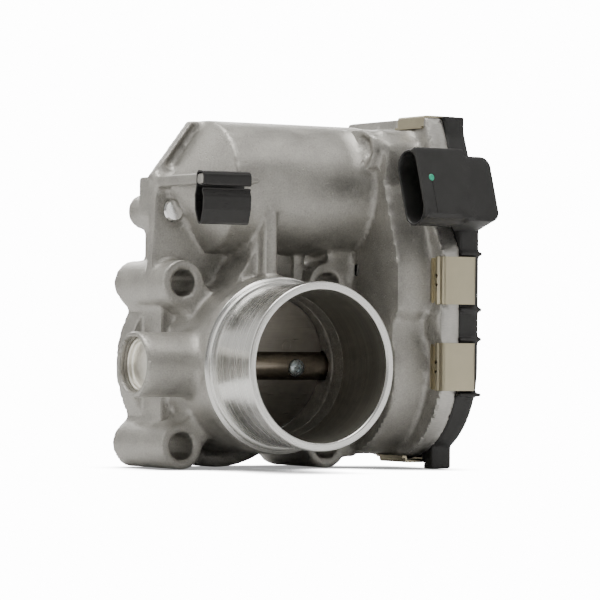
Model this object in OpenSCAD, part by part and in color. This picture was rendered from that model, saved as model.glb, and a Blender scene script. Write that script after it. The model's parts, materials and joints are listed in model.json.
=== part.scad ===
// Electronic throttle body: cast housing, air bore, drive motor, two-stage gear drive and clipped gear cover.
// Origin: on the air bore's axis at the rear flange face. -Y is the inlet side, +X the gear case side, +Z up.

/* [Bore and inlet] */
// Diameter of the air bore at the throttle plate
bore_d = 38; // [37:0.5:38.5]
// Outer diameter of the inlet spigot's bead
spigot_d = 45; // [44.6:0.1:45.4]
// Inner diameter at the spigot's mouth
mouth_d = 40.6; // [40:0.1:41]
// Distance from the flange face to the spigot's front face
body_length = 62; // [61:0.5:62]
// Outer diameter of the cast tube behind the spigot
tube_d = 48; // [47.6:0.2:48.4]

/* [Mounting flange] */
// Distance between the bolt holes across the object
bolt_spacing_x = 46; // [45.5:0.5:46.5]
// Distance between the bolt holes up and down
bolt_spacing_z = 44; // [43.5:0.5:44.5]
// Diameter of the bolt holes
bolt_hole_d = 7.2; // [6.6:0.1:7.4]
// Outer diameter of the bolt columns
bolt_boss_d = 12.6; // [12.2:0.1:12.8]
// Length of the bolt columns
bolt_boss_length = 28; // [26:0.5:29]

/* [Throttle shaft and plate] */
// Diameter of the throttle shaft
shaft_d = 8; // [7.6:0.1:8.2]
// Distance of the shaft's axis in front of the flange face
shaft_depth = 30; // [29.5:0.1:30.2]
// Thickness of the throttle plate
plate_t = 1.8; // [1.4:0.1:2]
// Angle of the closed plate from square across the bore
closed_angle = 4; // [3:0.5:6]
// Further opening of the plate when no power is applied
rest_opening = 6; // [4:0.5:8]

/* [Drive motor] */
// Distance of the motor's axis in front of the flange face
motor_depth = 21.5; // [21.3:0.1:21.7]
// Height of the motor's axis above the bore's axis
motor_height = 48.6; // [48.5:0.1:48.8]
// Outer diameter of the cast motor barrel
barrel_d = 35.8; // [35.4:0.1:35.8]
// Outer diameter of the motor's can
can_d = 28; // [27.6:0.1:28.2]

/* [Gear case and cover] */
// Height of the case's upper edge above the bore's axis
case_top = 68.5; // [68.2:0.1:68.8]
// Radius of the rim's round lower end about the shaft's axis
rim_r = 26; // [25.8:0.1:26.2]
// Width of each steel cover clip
cover_clip_w = 13; // [11:0.5:13.4]
// Thickness of the cover clips' sheet
cover_clip_t = 0.6; // [0.5:0.05:0.7]

/* [Hidden] */
$fn = 64;
eps = 0.01;

// Fits
running_gap = 0.03;
plate_gap = 0.05;
loose_gap = 0.4;

// Positions in the plane across X, as [Y, Z]
bore_r = bore_d / 2;
spigot_r = spigot_d / 2;
tube_r = tube_d / 2;
shaft_r = shaft_d / 2;
shaft_yz = [-shaft_depth, 0];
motor_yz = [-motor_depth, motor_height];
bolt_x = bolt_spacing_x / 2;
bolt_z = bolt_spacing_z / 2;

// Gear train: modules, tooth counts, pitch radii, centre distances and the intermediate gear's place
slow_module = 0.9;
sector_teeth = 46;
idler_pinion_teeth = 13;
fast_module = 0.7;
idler_wheel_teeth = 54;
motor_pinion_teeth = 12;
sector_r = slow_module * sector_teeth / 2;
idler_pinion_r = slow_module * idler_pinion_teeth / 2;
idler_wheel_r = fast_module * idler_wheel_teeth / 2;
motor_pinion_r = fast_module * motor_pinion_teeth / 2;
slow_centres = sector_r + idler_pinion_r;
fast_centres = idler_wheel_r + motor_pinion_r;
drive_span = norm(motor_yz - shaft_yz);
drive_angle = atan2(motor_yz[1] - shaft_yz[1], motor_yz[0] - shaft_yz[0]);
stage_angle = acos((pow(slow_centres, 2) + pow(drive_span, 2) - pow(fast_centres, 2))
    / (2 * slow_centres * drive_span));
slow_angle = drive_angle + stage_angle;
idler_yz = shaft_yz + slow_centres * [cos(slow_angle), sin(slow_angle)];
fast_angle = atan2(motor_yz[1] - idler_yz[1], motor_yz[0] - idler_yz[0]);
pressure_angle = 20;
addendum = 0.85;
dedendum = 1.2;
tooth_fill = 0.86;

// Levels along X
case_wall_x = 31;
case_floor_x = 34;
rim_x = 41.8;
rim_floor_x = 43.4;
cover_x = 47.8;
cover_face_x = 54.2;
cover_step_x = 51.8;
cover_ceiling_x = 52.2;
throttle_gear_x = [43.8, 47.6];
idler_pinion_x = [43.6, 48.4];
idler_wheel_x = [48.6, 51.4];

// Gear case outline
rim_front_y = shaft_yz[0] - rim_r;
rim_rear_y = -4;
case_front_y = -51;
case_wall_t = 3;
rim_wall_t = 3.4;
cover_top = case_top + 0.7;

// Motor barrel and its pointed nose
barrel_r = barrel_d / 2;
barrel_bore_r = can_d / 2 + loose_gap;
can_r = can_d / 2;
motor_shaft_r = 1.6;
terminal_y = [-30, -13];
terminal_z = 55.6;
barrel_start_x = -13.2;
nose_base_r = barrel_r - 0.5;
nose_tip_x = -24;
nose_tip_r = 2;
motor_cavity_x = -10.6;
can_x = motor_cavity_x + 1;
nose_web_y = -21;
nose_web_t = 3.4;

// Screws that hold the motor's end cap
motor_screw_yz = [[-37, 58.5], [-14.5, 31]];

// Places of the two plate screws along the shaft
screw_x = [-9.2, 9.2];

// Plug boss
plug_boss_x = -39.8;
plug_boss_r = 8.85;
plug_r = 7.45;

// Cover clips: [place of the edge in Y-Z, turn about X, length of the hook, length of the leg]
clip_places = [
    [[rim_front_y, 0], 0, 4.4, 4.6], [[rim_front_y, 23.6], 0, 4.4, 4.6],
    [[rim_rear_y, 24], 180, 2.4, 3], [[rim_rear_y, 50], 180, 2.4, 3],
    [[-39.6, case_top], -90, 3, 4.6], [[-32, -rim_r], 90, 1.3, 4.6]
];
clip_leg_x = cover_face_x - 2;
clip_hook_x = rim_x + 0.8;
clip_room = cover_clip_w / 2 + 0.2;
clip_slot_x = [clip_leg_x - 0.1, clip_leg_x + cover_clip_t + 0.2];
cover_rib_z = [31, 15.7, 7.6, -7.6];

// Hose clip and its bar
arm_x = -28;
arm_w = 2.6;
arm_z = [47.9, 50.9];
bar_y = [-46.2, -43.2];
hose_clip_x = [-28, -13.4];
hose_clip_t = 0.5;

// Electrical connector on the cover
connector_yz = [-58.9, 48.4];
connector_tilt = -18;
connector_mouth_x = 29.4;
connector_back_x = 44.4;
socket_w = 8.4;
socket_h = 19.8;
shell_t = 0.7;
shell_front_h = 20;

// Cylinder along X between two levels
module rod_x(x0, x1, yz, r) {
    translate([x0, yz[0], yz[1]]) rotate([0, 90, 0]) cylinder(h = x1 - x0, r = r);
}

// Cylinder along Y between two levels
module rod_y(y0, y1, x, z, r) {
    translate([x, y0, z]) rotate([-90, 0, 0]) cylinder(h = y1 - y0, r = r);
}

// Extrusion along X of a profile drawn in the Y-Z plane
module slab_x(x0, x1) {
    translate([x0, 0, 0]) rotate([90, 0, 90]) linear_extrude(height = x1 - x0) children();
}

// Extrusion along Y of a profile drawn in the X-Z plane
module slab_y(y0, y1) {
    translate([0, y1, 0]) rotate([90, 0, 0]) linear_extrude(height = y1 - y0) children();
}

// Box between two opposite corners
module block(low, high) {
    translate(low) cube(high - low);
}

// Rectangle between two opposite corners
module block_2d(low, high) {
    translate(low) square(high - low);
}

// Ring along X between two levels
module ring_x(x0, x1, yz, r_in, r_out) {
    difference() {
        rod_x(x0, x1, yz, r_out);
        rod_x(x0 - 1, x1 + 1, yz, r_in);
    }
}

// Rounded rectangle between two opposite corners
module soft_rect(low, high, r) {
    translate(low + [r, 0]) square([high[0] - low[0] - 2 * r, high[1] - low[1]]);
    translate(low + [0, r]) square([high[0] - low[0], high[1] - low[1] - 2 * r]);
    for (y = [low[0] + r, high[0] - r], z = [low[1] + r, high[1] - r])
        translate([y, z]) circle(r = r);
}

// Involute function in degrees
function involute(a) = tan(a) * 180 / PI - a;

// Half the angle that a tooth fills at radius r
function tooth_half_angle(r, pitch_r, teeth) =
    let(base_r = pitch_r * cos(pressure_angle))
    90 / teeth * tooth_fill + involute(pressure_angle) - involute(acos(min(1, base_r / max(r, base_r))));

// Outline of a spur gear with one tooth centred on angle phase
module gear_2d(mod, teeth, phase) {
    pitch_r = mod * teeth / 2;
    root_r = pitch_r - dedendum * mod;
    tip_r = pitch_r + addendum * mod;
    steps = 4;
    radii = [for (k = [0 : steps]) root_r + (tip_r - root_r) * k / steps];
    polygon([for (i = [0 : teeth - 1], side = [-1, 1], k = [0 : steps])
        let(r = radii[side < 0 ? k : steps - k],
            a = phase + i * 360 / teeth + side * tooth_half_angle(r, pitch_r, teeth))
        r * [cos(a), sin(a)]]);
}

// Pie slice about the origin between two angles, wider than any gear
module pie_2d(a0, a1, r) {
    steps = 8;
    polygon(concat([[0, 0]], [for (k = [0 : steps])
        let(a = a0 + (a1 - a0) * k / steps) r * [cos(a), sin(a)]]));
}

// Points of the rim's straight sides, drawn in by inset, from the front round the top to the rear
function rim_sides(inset, top) = [
    [rim_front_y + inset, 0], [rim_front_y + inset, 32.5], [-51.4 + inset, 40], [-51.4 + inset, 57],
    [-46.8 + inset, top - inset], [rim_rear_y - inset - 4, top - inset],
    [rim_rear_y - inset, top - inset - 4], [rim_rear_y - inset, 0]
];

// The straight sides moved down by a small overlap, so that they run into the round lower end
rim_overlap = 0.5;
function lowered_sides(inset, top) = [for (p = rim_sides(inset, top + rim_overlap)) p - [0, rim_overlap]];

// Outline of the gear case's rim, drawn in by inset, with its upper edge at height top
module rim_outline(inset, top) {
    translate(shaft_yz) circle(r = rim_r - inset);
    polygon(lowered_sides(inset, top));
}

// The same outline as one path, with its round lower end in short chords
module rim_path(inset, top) {
    steps = 36;
    polygon(concat(lowered_sides(inset, top), [for (i = [1 : steps - 1])
        let(a = -i * 180 / steps) shaft_yz + (rim_r - inset) * [cos(a), sin(a)]]));
}

// Outline of the case behind the rim, drawn in by inset
module case_outline(inset) {
    translate([-25.2, 0]) circle(r = 24.5 - inset);
    polygon([
        [-48.6 + inset, 0], [-48.6 + inset, 12.5 + inset], [case_front_y + inset, 15.5 + inset],
        [case_front_y + inset, 28 - inset / 2],
        [-43.4 + inset, 50 - inset / 2], [-45 + inset, 60 - inset / 2],
        [-41 + inset / 2, 65 - inset], [-33, 65 - inset], [-11 - inset, 66 - inset], [-7 - inset, 62 - inset],
        [-7 - inset, 0], [-25, -2]
    ]);
}

// Turned inlet spigot with its bead, groove and shoulder ring, as a solid of revolution about the bore
module spigot() {
    rotate([90, 0, 0]) rotate_extrude($fn = 128) polygon([
        [0, 30], [tube_r, 30], [tube_r, 40],
        [spigot_r + 1, 41], [spigot_r + 0.5, 41.4], [spigot_r - 0.5, 41.4],
        [spigot_r - 0.5, body_length - 4.8], [spigot_r, body_length - 4.3], [spigot_r, body_length - 0.5],
        [spigot_r - 0.5, body_length], [0, body_length]
    ]);
}

// Air passage right through the housing
module air_passage() {
    mouth_r = mouth_d / 2;
    rotate([90, 0, 0]) rotate_extrude($fn = 128) polygon([
        [0, -1], [bore_r + 0.8, -1], [bore_r, 0.8], [bore_r, 36], [bore_r + 0.6, 36.6], [mouth_r - 0.4, 46],
        [mouth_r, body_length - 0.8], [mouth_r + 0.8, body_length + 0.1], [0, body_length + 0.1]
    ]);
}

// The four bolt columns and the flange disc behind the bore
module flange_casting() {
    rod_y(-8, 0, 0, 0, 28.5);
    for (x = [-bolt_x, bolt_x], z = [-bolt_z, bolt_z]) {
        rod_y(-bolt_boss_length, 0, x, z, bolt_boss_d / 2);
        flange_arm(x, z, -bolt_boss_length, 4.6);
        flange_arm(x, z, -8, bolt_boss_d / 2);
    }
    block([-24.5, -18.4, -bolt_z], [0, -1, bolt_z]);
    block([bolt_x, -bolt_boss_length, 16], [case_wall_x + 1, -9, 33.5]);
    block([bolt_x, -bolt_boss_length, -25.2], [case_wall_x + 1, -9, -16]);
}

// Flat arm from the bore's axis to one bolt column, from level y0 back to the flange face
module flange_arm(x, z, y0, half_w) {
    slab_y(y0, 0) rotate(atan2(z, x)) translate([0, -half_w]) square([norm([x, z]), 2 * half_w]);
}

// Barrel, pointed nose and the flat web that carries the nose
module barrel_casting() {
    rod_x(barrel_start_x, case_floor_x + 2, motor_yz, barrel_r);
    translate([nose_tip_x, motor_yz[0], motor_yz[1]]) rotate([0, 90, 0])
        cylinder(h = barrel_start_x - nose_tip_x + eps, r1 = nose_tip_r, r2 = nose_base_r);
    slab_y(nose_web_y, nose_web_y + nose_web_t) polygon([
        [-10, 66.3], [-17, 66.3], [-29, 50.9], [-28, 47.5], [-29.2, 24], [-26, 18], [-10.9, 18],
        [-10.9, 22.1], [-4.1, 24.7], [-4.1, 31], [-12.2, 31.1]
    ]);
    // Lug for the front motor screw and boss for the lower one
    slab_x(27.6, case_wall_x + 1)
        polygon([[-30, 65.5], [-37, 65], [-42.6, 62.8], [-43.4, 59], [-40.5, 54.4], [-34, 52]]);
    rod_x(27, case_wall_x + 1, motor_screw_yz[1], 4);
}

// Column with the dowel, and the L-shaped arm for the hose clip
module arm_casting() {
    rod_y(nose_web_y, -3.6, -22.3, 41.8, 4.8);
    block([-28, nose_web_y, 40], [-20, -11.3, 50]);
    slab_y(nose_web_y, -11.3) polygon([[-28, 45.3], [-28, 50.9], [-20, 50.9], [-20, 45.3]]);
    block([arm_x, bar_y[0] + 1, arm_z[0]], [arm_x + arm_w, nose_web_y + eps, arm_z[1]]);
    block([arm_x, bar_y[0], arm_z[0]], [-12.6, bar_y[1], arm_z[1]]);
    translate([-12.7, (bar_y[0] + bar_y[1]) / 2, (arm_z[0] + arm_z[1]) / 2]) rotate([0, 90, 0])
        cylinder(h = 2.9, r1 = 1.3, r2 = 0.8);
}

// Upright rib between the tube and the barrel, with a gusset, and ribs behind them
module rib_casting() {
    block([-4, -39, 17], [-0.2, -20, 46]);
    slab_y(-34, -20) polygon([[-3, 44], [-3, 20], [-10, 20], [-9, 24], [-5.5, 29], [-4.6, 34]]);
    block([-1.9, -24, 17], [1.9, -5, 42]);
    block([14, -24, 12], [17.8, -5, 42]);
    block([-22.5, nose_web_y + 1, 20], [-19, -5, 40]);
    block([17, -42, -4], [case_wall_x + 1, -6, 4]);
    rod_x(15, case_wall_x + 1, shaft_yz, 13);
}

// Gear case with its rim and milled block between the front clips
module case_casting() {
    slab_x(case_wall_x, rim_x + eps) case_outline(0);
    slab_x(rim_x, cover_x) rim_outline(0, case_top);
    slab_x(rim_x - 0.8, rim_x + 1) soft_rect([rim_front_y + 0.8, 8.2], [-46, 14.6], 1);
}

// Hollow of the gear case, with the posts that stand in it
module case_hollow() {
    difference() {
        union() {
            slab_x(case_floor_x, rim_x - 1) case_outline(case_wall_t);
            slab_x(rim_x - 1 - eps, rim_floor_x + eps) intersection() {
                case_outline(case_wall_t);
                rim_outline(rim_wall_t, case_top);
            }
            slab_x(rim_floor_x, cover_x + 1) rim_outline(rim_wall_t, case_top);
        }
        rod_x(case_floor_x - 1, idler_pinion_x[0] - 0.6, idler_yz, 5.4);
    }
}

// Stepped bore along the shaft's axis
module shaft_passage() {
    rod_x(plug_boss_x - 1, -34.9, shaft_yz, plug_r);
    rod_x(-35, -27.5, shaft_yz, 6.5);
    rod_x(-27.6, -24.4, shaft_yz, 5.8);
    rod_x(-30, case_floor_x + 3, shaft_yz, shaft_r + loose_gap);
    rod_x(22.4, 26, shaft_yz, 6.5);
    rod_x(25.9, case_floor_x + 3, shaft_yz, 8.2);
}

// Shallow channel parallel to the web's sloping edge
module web_channel() {
    translate([0, nose_web_y - 1, 0]) slab_y(0, 2.4)
        polygon([[-16.6, 65.4], [-14.2, 65.4], [-22.4, 53.3], [-26, 53.3]]);
}

// Cast and machined aluminium housing
module housing() {
    color([0.66, 0.65, 0.62]) difference() {
        union() {
            spigot();
            rod_y(-41, 0, 0, 0, tube_r);
            flange_casting();
            rod_x(plug_boss_x, -15, shaft_yz, plug_boss_r);
            barrel_casting();
            arm_casting();
            rib_casting();
            case_casting();
        }
        air_passage();
        shaft_passage();
        case_hollow();
        rod_x(motor_cavity_x, case_floor_x + 2, motor_yz, barrel_bore_r);
        for (x = [-bolt_x, bolt_x], z = [-bolt_z, bolt_z]) {
            rod_y(-bolt_boss_length - 1, 1, x, z, bolt_hole_d / 2);
            // Room for the bolt's head in front of each column
            rod_y(-40, -bolt_boss_length, x, z, bolt_boss_d / 2);
            translate([x, -bolt_boss_length + 0.5, z]) rotate([90, 0, 0])
                cylinder(h = 0.6, r1 = bolt_hole_d / 2, r2 = bolt_hole_d / 2 + 0.6);
        }
        web_channel();
        rod_y(nose_web_y - 1, -10, -22.3, 41.8, 3.1);
        rod_x(31.5, case_floor_x + 10, idler_yz, 3);
        for (yz = motor_screw_yz)
            rod_x(29.8, case_floor_x + 1, yz, 2);
        difference() {
            slab_x(cover_x - 1.6, cover_x + 1) rim_outline(1.1, case_top);
            slab_x(cover_x - 2, cover_x + 2) rim_outline(2.4, case_top);
        }
        slab_x(20, 29.2) polygon([[-35, 64.2], [-41, 62], [-41.8, 59], [-39.6, 56]]);
        for (clip = clip_places)
            place_clip(clip) hook_notch(clip[2]);
    }
}

// Profile of the connector's shell: flat towards the front with square corners, round towards the rear
module shell_profile() {
    translate(connector_yz) rotate(connector_tilt) {
        shell_corner = [socket_w / 2 + shell_t, socket_h / 2 + shell_t];
        soft_rect(-shell_corner, shell_corner, 4.6);
        translate([-socket_w / 2 - shell_t, -shell_front_h / 2]) square([2.6, shell_front_h]);
    }
}

// Plastic gear cover with the connector's shell
module gear_cover() {
    color([0.1, 0.1, 0.1]) difference() {
        union() {
            slab_x(cover_x, cover_step_x + eps) rim_outline(0.5, cover_top);
            slab_x(cover_step_x, cover_face_x) rim_outline(0.3, cover_top);
            // Squared corner between the top clip and the cover's sloping front edge
            block([cover_x, -48, 62], [cover_face_x, -46.4, cover_top - 0.3]);
            block([cover_x - 1.3, -48, case_top + 0.05], [cover_x + 1, -46.6, cover_top - 0.3]);
            for (z = cover_rib_z)
                block([cover_x, rim_front_y - 0.5, z - 0.5], [cover_face_x + 0.8, rim_front_y + 9, z + 0.5]);
            block([cover_x, -43, -28.3], [cover_face_x, -38, -20]);
            slab_x(connector_mouth_x, connector_back_x + 1) shell_profile();
            connector_tail();
            slab_x(cover_face_x - 0.5, cover_face_x + 0.8) cover_ribs();
            difference() {
                slab_x(cover_face_x - 0.5, cover_face_x + 0.8) rim_outline(7.4, cover_top);
                slab_x(cover_face_x - 0.6, cover_face_x + 0.9) rim_outline(8.6, cover_top);
            }
        }
        slab_x(connector_mouth_x - 1, connector_back_x - 1.6) translate(connector_yz) rotate(connector_tilt)
            soft_rect([-socket_w / 2, -socket_h / 2], [socket_w / 2, socket_h / 2], 4);
        slab_x(cover_x - 1, cover_ceiling_x) cover_hollow();
        for (clip = clip_places)
            place_clip(clip)
                clip_notch(clip[3]);
        connector_pins();
        rod_x(cover_ceiling_x - 2, cover_ceiling_x + 0.6, idler_yz, 3 + running_gap);
    }
}

// Raised stiffening ribs on the cover's outer face
module cover_ribs() {
    for (hub = [[shaft_yz, 9], [idler_yz, 5], [motor_yz, 8]])
        translate(hub[0]) difference() {
            circle(r = hub[1]);
            circle(r = hub[1] - 1.2);
        }
    intersection() {
        rim_outline(8, cover_top);
        difference() {
            for (a = [0 : 60 : 300])
                translate(idler_yz) rotate(a) translate([4.2, -0.6]) square([60, 1.2]);
            translate(shaft_yz) circle(r = 8.3);
            translate(motor_yz) circle(r = 7.3);
        }
    }
}

// Room inside the cover for the gears, the sensor and the motor's pinion
module cover_hollow() {
    intersection() {
        rim_outline(3.2, cover_top);
        union() {
            translate(shaft_yz) circle(r = 20.5);
            translate(idler_yz) circle(r = 20.4);
            translate(motor_yz) circle(r = 13);
            translate([-41, 0]) square([24, 52]);
        }
    }
}

// Puts a clip, drawn with the edge at Y = 0 and outwards along -Y, at its place on the rim
module place_clip(clip) {
    translate([0, clip[0][0], clip[0][1]]) rotate([clip[1], 0, 0]) children();
}

// Recess in the rear side of the rim for one clip's hook
module hook_notch(hook) {
    block([rim_x - 0.2, -3, -clip_room], [clip_hook_x, hook + 0.3, clip_room]);
}

// Room in the cover for one clip: its outer leg's slot and the strip past the rim's edge
module clip_notch(leg) {
    block([clip_slot_x[0], -3, -clip_room], [clip_slot_x[1], leg + 0.3, clip_room]);
    block([cover_x - 1, -3, -clip_room], [clip_slot_x[1], 0, clip_room]);
}

// Solid block between the connector's shell and the cover's edge
module connector_tail() {
    translate([0, connector_yz[0], connector_yz[1]]) rotate([connector_tilt, 0, 0])
        slab_y(-4.4, 4) {
            block_2d([connector_back_x - 1, -10.6], [connector_back_x + 5.2, 8.2]);
            soft_rect([connector_back_x - 1, -10.6], [cover_face_x - 0.2, 8.2], 3);
        }
    block([cover_x, -60, 41], [cover_face_x - 0.8, -47, 56]);
    block([cover_x, rim_front_y + 0.3, 30.5], [cover_face_x, -50, 42]);
}

// Rubber seal in the groove of the rim
module cover_seal() {
    color([0.12, 0.12, 0.13]) difference() {
        slab_x(cover_x - 1.5, cover_x) rim_path(1.25, case_top);
        slab_x(cover_x - 2, cover_x + 1) rim_path(2.25, case_top);
    }
}

// One clip: a back across the rim and cover, a leg on the cover and a hook behind the rim
module clip_sheet(hook, leg) {
    t = cover_clip_t;
    translate([clip_hook_x - t, -t]) square([clip_leg_x + 2 * t - clip_hook_x, t]);
    translate([clip_hook_x - t, -t]) square([t, hook + t]);
    translate([clip_hook_x - t - 0.9, hook - t]) square([0.9 + t, t]);
    translate([clip_leg_x, -t]) square([t, leg + t]);
}

// Six steel clips that hold the cover on, each with a pair of small holes in a long hook
module cover_clips() {
    color([0.72, 0.7, 0.62]) for (clip = clip_places)
        place_clip(clip) difference() {
            translate([0, 0, -cover_clip_w / 2])
                linear_extrude(height = cover_clip_w) clip_sheet(clip[2], clip[3]);
            if (clip[2] > 4)
                for (z = [-1.1, 1.1])
                    rod_x(clip_hook_x - 2, clip_hook_x + 1, [2, z], 0.45);
        }
}

// Black spring clip that hangs on the bar: an open roll round the bar and a narrow loop below it
module hose_clip() {
    t = hose_clip_t;
    roll_low = [bar_y[0] - 0.7, 47.3];
    roll_high = [bar_y[1] + 0.5, 51.7];
    loop_low = [-46.3, 37.4];
    loop_high = [-42.1, 46.9];
    color([0.08, 0.08, 0.08]) slab_x(hose_clip_x[0], hose_clip_x[1]) {
        difference() {
            soft_rect(roll_low, roll_high, 0.8);
            soft_rect(roll_low + [t, t], roll_high - [t, t], 0.3);
            translate([bar_y[1] - 0.4, 47.85]) square([2, 3.3]);
        }
        difference() {
            soft_rect(loop_low, loop_high + [0, 4], 2);
            soft_rect(loop_low + [t, t], loop_high + [-t, 4], 1.5);
            translate([loop_low[0] - 1, loop_high[1]]) square([6, 6]);
        }
        translate([loop_high[0] - t, loop_high[1] - 0.5]) square([t, roll_low[1] + t - loop_high[1] + 0.5]);
        translate([roll_high[0] - 1.6, roll_low[1]]) square([loop_high[0] - roll_high[0] + 1.6, t]);
        translate([loop_low[0] - 0.5, loop_high[1] - t]) square([1, t]);
    }
}

// Turned steel dowel in the column beside the nose
module locating_dowel() {
    color([0.85, 0.84, 0.82]) rod_y(nose_web_y - 0.3, -10, -22.3, 41.8, 3.1);
}

// Pressed cup that closes the shaft's bore at the plug boss
module shaft_plug() {
    color([0.7, 0.69, 0.66]) difference() {
        rod_x(-37.4, -35, shaft_yz, plug_r);
        rod_x(-38, -36.1, shaft_yz, plug_r - 0.8);
    }
}

// Needle bearing's shell at the plug end of the shaft
module bearing_left() {
    color([0.75, 0.75, 0.76]) ring_x(-34.6, -27.6, shaft_yz, shaft_r + running_gap, 6.5);
}

// Ball bearing at the gear end of the shaft
module bearing_right() {
    color([0.75, 0.75, 0.76]) ring_x(26, 32, shaft_yz, shaft_r + running_gap, 8.2);
}

// Lip seal between the left bearing and the air bore
module seal_left() {
    color([0.15, 0.1, 0.08]) ring_x(-27.5, -24.6, shaft_yz, shaft_r + running_gap, 5.8);
}

// Lip seal between the air bore and the right bearing
module seal_right() {
    color([0.15, 0.1, 0.08]) ring_x(22.6, 25.8, shaft_yz, shaft_r + running_gap, 6.5);
}

// Drawn steel can of the motor, open towards the gear case
module motor_can() {
    color([0.7, 0.7, 0.7]) difference() {
        rod_x(can_x, 29.6, motor_yz, can_r);
        rod_x(can_x + 1, 30, motor_yz, can_r - 1);
        rod_x(can_x - 1, can_x + 2, motor_yz, 3.4);
    }
}

// Spring washer between the can and the bottom of the barrel
module motor_washer() {
    color([0.6, 0.6, 0.6]) ring_x(motor_cavity_x + 0.1, can_x - 0.1, motor_yz, 8, 13);
}

// End cap that carries the brushes and holds the motor in the barrel
module motor_end_cap() {
    color([0.2, 0.2, 0.22]) difference() {
        union() {
            rod_x(29.6, case_floor_x + 1.4, motor_yz, can_r);
            for (yz = motor_screw_yz)
                slab_x(case_floor_x, case_floor_x + 1.4) {
                    translate(yz) circle(r = 3.3);
                    translate((yz + motor_yz) / 2) rotate(atan2(yz[1] - motor_yz[1], yz[0] - motor_yz[0]))
                        square([19, 6.6], center = true);
                }
        }
        rod_x(29, 40, motor_yz, 3.4);
        for (yz = motor_screw_yz)
            rod_x(30, 40, yz, 2);
        for (y = terminal_y)
            block([29, y - 0.5, terminal_z - 2], [40, y + 0.5, terminal_z + 2]);
    }
}

// Two field magnets inside the can
module motor_magnets() {
    color([0.25, 0.25, 0.27]) difference() {
        ring_x(-5, 20, motor_yz, 10.9, can_r - 1.05);
        for (a = [0, 180])
            translate([-6, motor_yz[0], motor_yz[1]]) rotate([a, 0, 0])
                slab_x(0, 28) pie_2d(60, 120, 30);
    }
}

// Two carbon brushes on the commutator
module motor_brushes() {
    color([0.15, 0.15, 0.15]) for (side = [-1, 1])
        block([24, motor_yz[0] + min(side * 4.3, side * 10), motor_yz[1] - 1.6],
            [28, motor_yz[0] + max(side * 4.3, side * 10), motor_yz[1] + 1.6]);
}

// Sintered bushes for the motor's shaft, one in the can and one in the end cap
module motor_bushings() {
    color([0.6, 0.5, 0.3]) for (x = [can_x, 30])
        ring_x(x, x + 4.4, motor_yz, motor_shaft_r + running_gap, 3.4);
}

// Screws through the end cap's ears
module motor_screws() {
    color([0.6, 0.6, 0.6]) for (yz = motor_screw_yz)
        difference() {
            union() {
                rod_x(30, case_floor_x + 1.4, yz, 2);
                rod_x(case_floor_x + 1.4, case_floor_x + 3.6, yz, 3.2);
            }
            slab_x(case_floor_x + 2.4, case_floor_x + 5) translate(yz) circle(r = 1.5, $fn = 6);
        }
}

// Blades that carry the current from the cover to the motor
module motor_terminals() {
    color([0.8, 0.65, 0.35]) for (y = terminal_y)
        block([30, y - 0.4, terminal_z - 1.6], [cover_face_x - 3.4, y + 0.4, terminal_z + 1.6]);
}

// Fixed pin that the intermediate gear turns on
module idler_pin() {
    color([0.8, 0.8, 0.8]) rod_x(31.6, cover_ceiling_x + 0.4, idler_yz, 3);
}

// Torsion spring round the throttle gear's hub, as turns of wire with two straight ends
module return_spring() {
    wire_r = 0.7;
    coil_r = 9.6;
    turns = 4.5;
    pitch = 1.55;
    start_x = case_floor_x + 0.9;
    ring_steps = 16;
    sides = 8;
    rings = turns * ring_steps;
    points = [for (i = [0 : rings], k = [0 : sides - 1])
        let(a = i * 360 / ring_steps, r = coil_r + wire_r * cos(k * 360 / sides))
        [start_x + pitch * i / ring_steps + wire_r * sin(k * 360 / sides),
            shaft_yz[0] + r * cos(a), shaft_yz[1] + r * sin(a)]];
    walls = [for (i = [0 : rings - 1], k = [0 : sides - 1])
        [i * sides + k, (i + 1) * sides + k, (i + 1) * sides + (k + 1) % sides, i * sides + (k + 1) % sides]];
    color([0.6, 0.6, 0.62]) polyhedron(points,
        concat(walls, [[for (k = [0 : sides - 1]) k], [for (k = [sides - 1 : -1 : 0]) rings * sides + k]]));
}

// Six blades of the connector, each with a leg into the cover
module connector_pins() {
    color([0.8, 0.7, 0.45])
        translate([0, connector_yz[0], connector_yz[1]]) rotate([connector_tilt, 0, 0])
            for (u = [-1.9, 1.9], v = [-5.4, 0, 5.4])
                block([34.5, u - 0.3, v - 0.75], [connector_back_x + (u < 0 ? 4.6 : 3), u + 0.3, v + 0.75]);
}

// Circuit board of the position sensor, inside the cover
module sensor_board() {
    color([0.1, 0.3, 0.15]) slab_x(cover_ceiling_x - 0.6, cover_ceiling_x) difference() {
        translate([-41, -9]) square([22, 18]);
        translate(shaft_yz) circle(r = 1.5);
    }
}

// Throttle shaft with the slot for the plate
module throttle_shaft() {
    color([0.45, 0.36, 0.27]) turn_plate() difference() {
        rod_x(-34.4, throttle_gear_x[1], [0, 0], shaft_r);
        block([-bore_r + eps, -plate_t / 2, -shaft_r - 1], [bore_r - eps, plate_t / 2, shaft_r + 1]);
        for (x = screw_x) {
            rod_y(-shaft_r - 1, shaft_r + 1, x, 0, 1.5);
            rod_y(-shaft_r - 1, -shaft_r + 0.5, x, 0, 2.6);
        }
    }
}

// Turns a shape drawn with the plate square across the bore, about the origin, to the resting place
module turn_plate() {
    translate([0, shaft_yz[0], shaft_yz[1]]) rotate([closed_angle + rest_opening, 0, 0]) children();
}

// Throttle plate: a slab cut to the bore's outline at the closed angle
module throttle_plate() {
    color([0.7, 0.7, 0.7]) difference() {
        translate([0, shaft_yz[0], shaft_yz[1]]) rotate([rest_opening, 0, 0]) intersection() {
            rotate([closed_angle, 0, 0])
                block([-bore_r - 1, -plate_t / 2, -bore_r - 2], [bore_r + 1, plate_t / 2, bore_r + 2]);
            rod_y(-12, 12, 0, 0, bore_r - plate_gap);
        }
        turn_plate() for (x = screw_x)
            rod_y(-5, 5, x, 0, 1.5);
    }
}

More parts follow.
